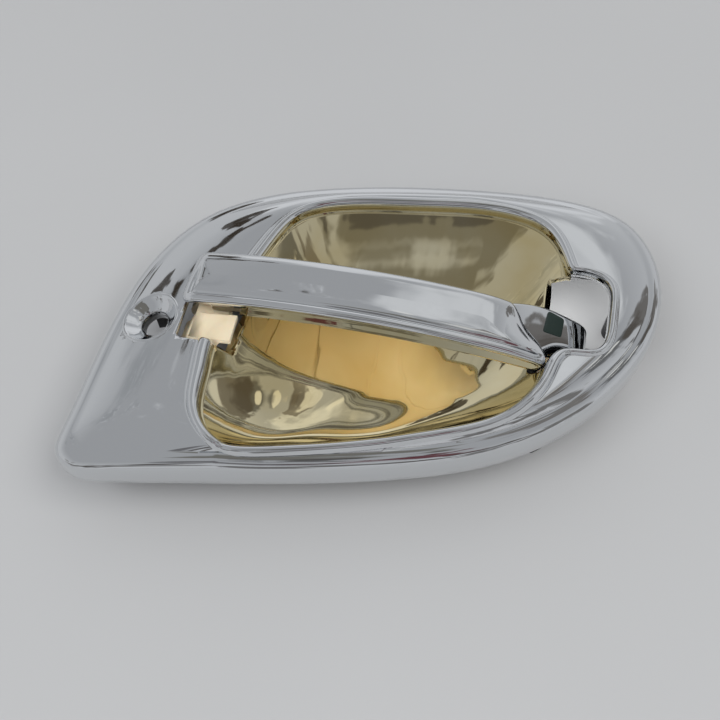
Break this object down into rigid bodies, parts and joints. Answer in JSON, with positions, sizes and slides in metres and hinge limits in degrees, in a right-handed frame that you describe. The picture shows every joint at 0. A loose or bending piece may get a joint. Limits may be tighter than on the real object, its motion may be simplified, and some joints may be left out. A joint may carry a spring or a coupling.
{
  "type": "car door handle",
  "caption": "Chromed pull-strap door handle: arched strap over a mirror-finish bowl in a teardrop escutcheon with a key hole, hinged to lift a bellcrank that pulls a latch rod.",
  "frame": {"origin": "middle of the plan box, at the rearmost face of the chassis posts", "axes": "+X along the strap from its hinge end to its latch end, +Y up the door, +Z out of the door towards the hand"},
  "size_m": [0.1999, 0.1469, 0.0492],
  "materials": {
    "chrome_plate": "bright chrome plate on moulded ABS",
    "tinted_mirror": "gold-tinted mirror plate on moulded ABS",
    "tan_abs": "unplated glossy tan ABS",
    "black_nylon": "glass-filled nylon, fine matte texture",
    "black_rubber": "matte elastomer",
    "bright_steel": "ground and drawn steel",
    "dark_zinc_steel": "dark zinc-plated steel",
    "white_acetal": "natural acetal",
    "brass_insert": "turned brass"
  },
  "bodies": {
    "chassis": {"escutcheon": "chrome_plate", "bowl": "tinted_mirror", "chassis": "black_nylon", "door_gasket": "black_rubber", "pivot_pin": "bright_steel", "pivot_clip": "dark_zinc_steel", "return_spring": "bright_steel", "bump_stops": "black_rubber", "crank_pin": "bright_steel", "crank_clip": "dark_zinc_steel", "crank_spring": "bright_steel", "threaded_inserts": "brass_insert", "escutcheon_screws": "dark_zinc_steel", "bowl_screws": "dark_zinc_steel"},
    "handle": {"handle_cover": "chrome_plate", "handle_inner_shell": "tan_abs", "handle_cover_screws": "dark_zinc_steel", "leg_pad": "black_rubber", "pivot_bushes": "white_acetal"},
    "bellcrank": {"bellcrank": "black_nylon", "counterweight": "dark_zinc_steel"},
    "rod_clip": {"rod_clip": "white_acetal"}
  },
  "joints": [
    {"name": "handle_pull", "type": "hinge", "parent": "chassis", "child": "handle", "pos_m": [-0.06464, 0, 0.025], "axis": [0, -1, 0], "range_deg": [0, 8], "stiffness_Nm_per_rad": 0.6, "springref_deg": -20.05, "deforming": ["return_spring"]},
    {"name": "bellcrank_turn", "type": "hinge", "parent": "chassis", "child": "bellcrank", "pos_m": [0.06531, -0.00971, 0.0175], "axis": [1, 0, 0], "range_deg": [0, 56], "deforming": ["crank_spring"]},
    {"name": "rod_clip_swivel", "type": "hinge", "parent": "bellcrank", "child": "rod_clip", "pos_m": [0.06531, -0.01393, 0.00955], "axis": [1, 0, 0], "range_deg": [-56, 0]}
  ],
  "couplings": [
    {"joint": "bellcrank_turn", "follows": "handle_pull", "ratio": 7},
    {"joint": "rod_clip_swivel", "follows": "handle_pull", "ratio": -7}
  ]
}
